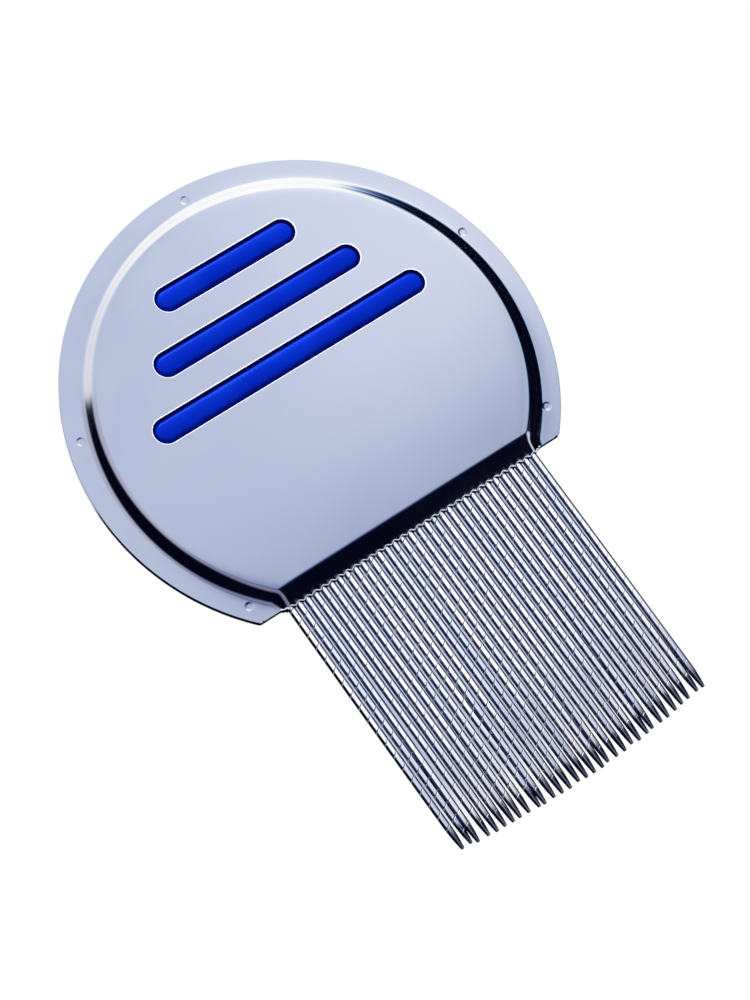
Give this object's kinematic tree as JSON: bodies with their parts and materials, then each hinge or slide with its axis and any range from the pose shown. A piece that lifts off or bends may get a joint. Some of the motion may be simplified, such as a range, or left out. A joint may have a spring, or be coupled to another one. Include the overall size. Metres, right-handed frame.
{
  "type": "flea comb",
  "caption": "Round-headed steel flea comb: two welded half shells over a ribbed plastic grip core hold a row of fine round needle teeth.",
  "frame": {"origin": "centre of the round head, on the outside of the rear shell's flat pad", "axes": "+X across the comb, to the right when the front is seen with the teeth down; the teeth point along -Y; +Z out of the front shell"},
  "size_m": [0.0616, 0.0886, 0.0032],
  "materials": {
    "shell_steel": "polished stainless sheet with a faint grain",
    "core_plastic": "glossy royal-blue moulding",
    "tooth_steel": "bright ground needle steel with a spiral micro-groove"
  },
  "bodies": {
    "root": {"front_shell": "shell_steel", "rear_shell": "shell_steel", "grip_core": "core_plastic", "tooth_01": "tooth_steel", "tooth_02": "tooth_steel", "tooth_03": "tooth_steel", "tooth_04": "tooth_steel", "tooth_05": "tooth_steel", "tooth_06": "tooth_steel", "tooth_07": "tooth_steel", "tooth_08": "tooth_steel", "tooth_09": "tooth_steel", "tooth_10": "tooth_steel", "tooth_11": "tooth_steel", "tooth_12": "tooth_steel", "tooth_13": "tooth_steel", "tooth_14": "tooth_steel", "tooth_15": "tooth_steel", "tooth_16": "tooth_steel", "tooth_17": "tooth_steel", "tooth_18": "tooth_steel", "tooth_19": "tooth_steel", "tooth_20": "tooth_steel", "tooth_21": "tooth_steel", "tooth_22": "tooth_steel", "tooth_23": "tooth_steel", "tooth_24": "tooth_steel", "tooth_25": "tooth_steel", "tooth_26": "tooth_steel", "tooth_27": "tooth_steel", "tooth_28": "tooth_steel", "tooth_29": "tooth_steel", "tooth_30": "tooth_steel", "tooth_31": "tooth_steel", "tooth_32": "tooth_steel"}
  },
  "joints": []
}
